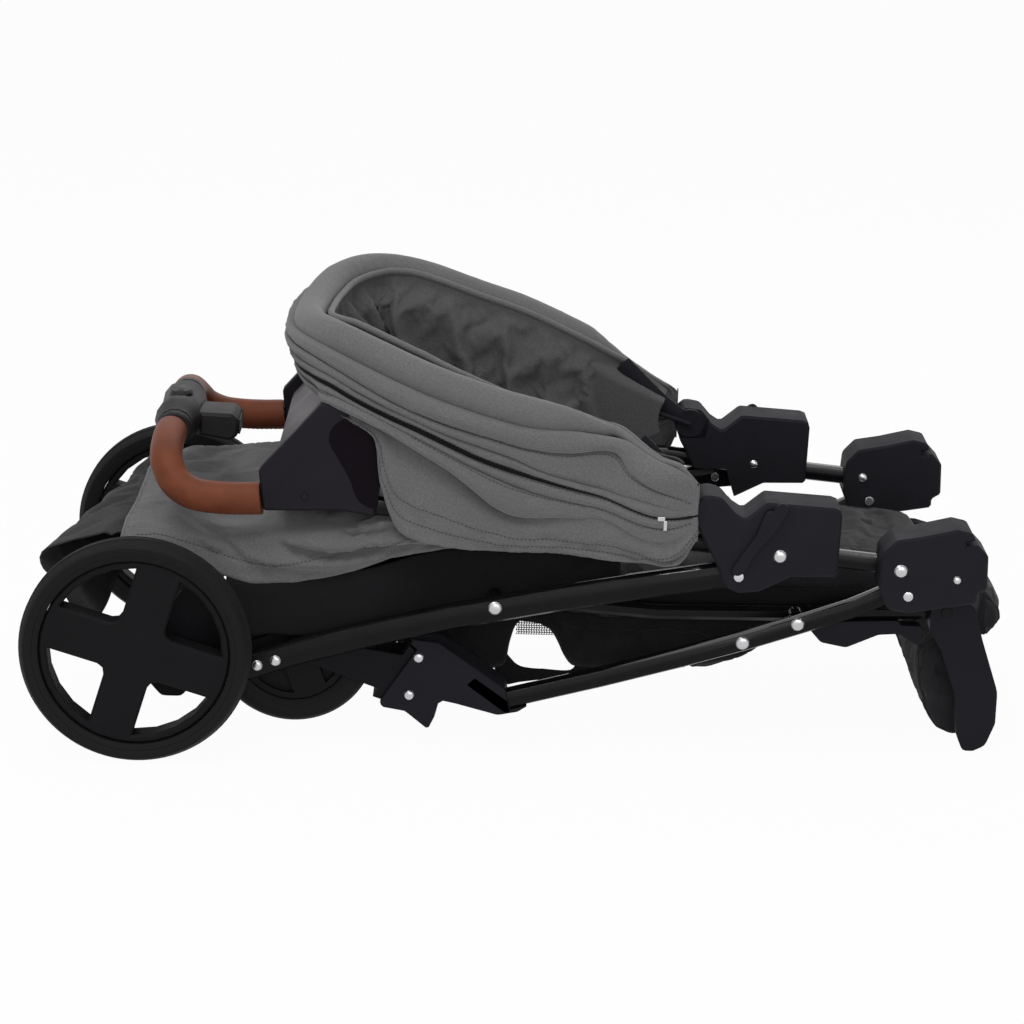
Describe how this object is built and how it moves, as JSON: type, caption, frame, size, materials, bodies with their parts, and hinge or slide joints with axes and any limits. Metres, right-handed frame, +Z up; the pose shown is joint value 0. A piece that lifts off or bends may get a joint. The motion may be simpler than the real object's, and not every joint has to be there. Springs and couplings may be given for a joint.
{
  "type": "folded pram",
  "caption": "Folding child's pram, stored flat: large rear and small front wheels, curved handle, hooded canopy, seat with leg rest",
  "frame": {"origin": "on the floor, under the middle of the folded part's box", "axes": "+X runs from the rear wheels to the leg rest, +Y across to the far side, +Z up; the middle plane is Y = 0"},
  "size_m": [0.9919, 0.486, 0.4444],
  "materials": {
    "tyre_rubber": "black foam rubber, dull",
    "wheel_plastic": "black moulded plastic, fine grain",
    "frame_lacquer": "black powder coat with a soft gloss",
    "hinge_plastic": "black moulded plastic, fine grain",
    "bolt_steel": "bright domed steel",
    "axle_steel": "drawn steel",
    "grip_leather": "brown leather with fine grain",
    "hub_plastic": "dark grey moulded plastic",
    "console_plastic": "black moulded plastic, fine grain",
    "tray_plastic": "grey moulded plastic",
    "grey_fabric": "grey woven cloth with hems",
    "lining_fabric": "dark grey woven cloth",
    "black_fabric": "black woven cloth"
  },
  "bodies": {
    "axle": {"rear_axle": "axle_steel"},
    "rear_wheel_near": {"rear_tyre_near": "tyre_rubber", "rear_hub_near": "wheel_plastic"},
    "rear_wheel_far": {"rear_tyre_far": "tyre_rubber", "rear_hub_far": "wheel_plastic"},
    "rear_legs": {"rear_leg_near": "frame_lacquer", "rear_leg_far": "frame_lacquer", "rear_bracket_near": "hinge_plastic", "rear_bracket_far": "hinge_plastic", "rear_cross_tube": "frame_lacquer"},
    "brake": {"brake_pedal": "hinge_plastic"},
    "push_frame": {"push_bar_near": "frame_lacquer", "push_bar_far": "frame_lacquer", "mid_housing_near": "hinge_plastic", "mid_housing_far": "hinge_plastic", "mid_bolt_near": "bolt_steel", "mid_bolt_far": "bolt_steel", "fold_housing_near": "hinge_plastic", "fold_housing_far": "hinge_plastic", "fold_bolt_near": "bolt_steel", "fold_bolt_far": "bolt_steel", "console_wing_near": "console_plastic", "console_wing_far": "console_plastic", "console_tray": "tray_plastic", "handle_grip_near": "grip_leather", "handle_grip_far": "grip_leather", "handle_hub": "hub_plastic"},
    "button_near": {"release_button_near": "hinge_plastic"},
    "button_far": {"release_button_far": "hinge_plastic"},
    "trigger": {"fold_trigger": "hub_plastic"},
    "front_legs": {"front_leg_near": "frame_lacquer", "front_leg_far": "frame_lacquer", "front_foot_near": "hinge_plastic", "front_foot_far": "hinge_plastic", "front_cross_tube": "frame_lacquer"},
    "caster_near": {"caster_fork_near": "hinge_plastic"},
    "caster_far": {"caster_fork_far": "hinge_plastic"},
    "front_wheel_near": {"front_tyre_near": "tyre_rubber", "front_hub_near": "wheel_plastic"},
    "front_wheel_far": {"front_tyre_far": "tyre_rubber", "front_hub_far": "wheel_plastic"},
    "seat": {"seat_frame": "frame_lacquer", "seat_plate_near": "hinge_plastic", "seat_plate_far": "hinge_plastic", "seat_pad": "black_fabric", "basket": "black_fabric"},
    "backrest": {"back_rail": "frame_lacquer", "back_pad": "black_fabric", "back_cover": "grey_fabric", "head_flap": "lining_fabric"},
    "leg_rest": {"leg_plate_near": "hinge_plastic", "leg_plate_far": "hinge_plastic", "leg_pad": "lining_fabric", "knee_roll": "black_fabric"},
    "canopy_mid": {"mid_bow": "hinge_plastic", "canopy_rear_cloth": "grey_fabric"},
    "canopy_front": {"canopy_roll": "grey_fabric", "canopy_front_cloth": "grey_fabric", "bow_arm_near": "hinge_plastic", "bow_arm_far": "hinge_plastic"}
  },
  "joints": [
    {"name": "rear_wheel_near_spin", "type": "hinge", "parent": "axle", "child": "rear_wheel_near", "pos_m": [-0.3775, -0.225, 0.115], "axis": [0, 1, 0], "continuous": true},
    {"name": "rear_wheel_far_spin", "type": "hinge", "parent": "axle", "child": "rear_wheel_far", "pos_m": [-0.3775, 0.225, 0.115], "axis": [0, 1, 0], "continuous": true},
    {"name": "frame_unfold", "type": "hinge", "parent": "axle", "child": "rear_legs", "pos_m": [-0.3775, 0, 0.115], "axis": [0, -1, 0], "range_deg": [0, 59.25]},
    {"name": "brake_press", "type": "hinge", "parent": "rear_legs", "child": "brake", "pos_m": [-0.3325, 0, 0.095], "axis": [0, -1, 0], "range_deg": [0, 20]},
    {"name": "push_unfold", "type": "hinge", "parent": "rear_legs", "child": "push_frame", "pos_m": [0.2177, 0, 0.197], "axis": [0, 1, 0], "range_deg": [0, 98.1]},
    {"name": "button_near_press", "type": "slide", "parent": "push_frame", "child": "button_near", "axis": [0, 1, 0], "range_m": [0, 0.0025], "stiffness_N_per_m": 600},
    {"name": "button_far_press", "type": "slide", "parent": "push_frame", "child": "button_far", "axis": [0, -1, 0], "range_m": [0, 0.0025], "stiffness_N_per_m": 600},
    {"name": "trigger_pull", "type": "slide", "parent": "push_frame", "child": "trigger", "axis": [-1, 0, 0], "range_m": [0, 0.0065], "stiffness_N_per_m": 500},
    {"name": "front_leg_unfold", "type": "hinge", "parent": "push_frame", "child": "front_legs", "pos_m": [0.3867, 0, 0.1809], "axis": [0, -1, 0], "range_deg": [0, 162.5]},
    {"name": "caster_near_swivel", "type": "hinge", "parent": "front_legs", "child": "caster_near", "pos_m": [-0.1155, -0.15, 0.07], "axis": [-0.8329, 0, 0.5534], "range_deg": [-5, 5]},
    {"name": "caster_far_swivel", "type": "hinge", "parent": "front_legs", "child": "caster_far", "pos_m": [-0.1155, 0.15, 0.07], "axis": [-0.8329, 0, 0.5534], "range_deg": [-5, 5]},
    {"name": "front_wheel_near_spin", "type": "hinge", "parent": "caster_near", "child": "front_wheel_near", "pos_m": [-0.2256, -0.15, 0.1023], "axis": [0, 1, 0], "continuous": true},
    {"name": "front_wheel_far_spin", "type": "hinge", "parent": "caster_far", "child": "front_wheel_far", "pos_m": [-0.2256, 0.15, 0.1023], "axis": [0, 1, 0], "continuous": true},
    {"name": "seat_unfold", "type": "hinge", "parent": "rear_legs", "child": "seat", "pos_m": [-0.0229, 0, 0.1565], "axis": [0, 1, 0], "range_deg": [0, 48.3]},
    {"name": "back_raise", "type": "hinge", "parent": "seat", "child": "backrest", "pos_m": [0.0889, 0, 0.138], "axis": [0, 1, 0], "range_deg": [0, 60.5], "deforming": ["back_cover", "head_flap"]},
    {"name": "leg_rest_raise", "type": "hinge", "parent": "seat", "child": "leg_rest", "pos_m": [0.4345, 0, 0.148], "axis": [0, -1, 0], "range_deg": [0, 75], "deforming": ["knee_roll"]},
    {"name": "canopy_unfold", "type": "hinge", "parent": "push_frame", "child": "canopy_mid", "pos_m": [0.186, 0, 0.2634], "axis": [0, 1, 0], "range_deg": [0, 37.5], "deforming": ["canopy_rear_cloth"]},
    {"name": "canopy_front_unfold", "type": "hinge", "parent": "canopy_mid", "child": "canopy_front", "pos_m": [0.186, 0, 0.2634], "axis": [0, 1, 0], "range_deg": [0, 37.5], "deforming": ["canopy_front_cloth"]}
  ],
  "couplings": [
    {"joint": "push_unfold", "follows": "frame_unfold", "ratio": 1.6549},
    {"joint": "front_leg_unfold", "follows": "frame_unfold", "ratio": 2.7409},
    {"joint": "seat_unfold", "follows": "frame_unfold", "ratio": 0.8143},
    {"joint": "back_raise", "follows": "frame_unfold", "ratio": 1.0194},
    {"joint": "canopy_front_unfold", "follows": "canopy_unfold", "ratio": 1}
  ]
}
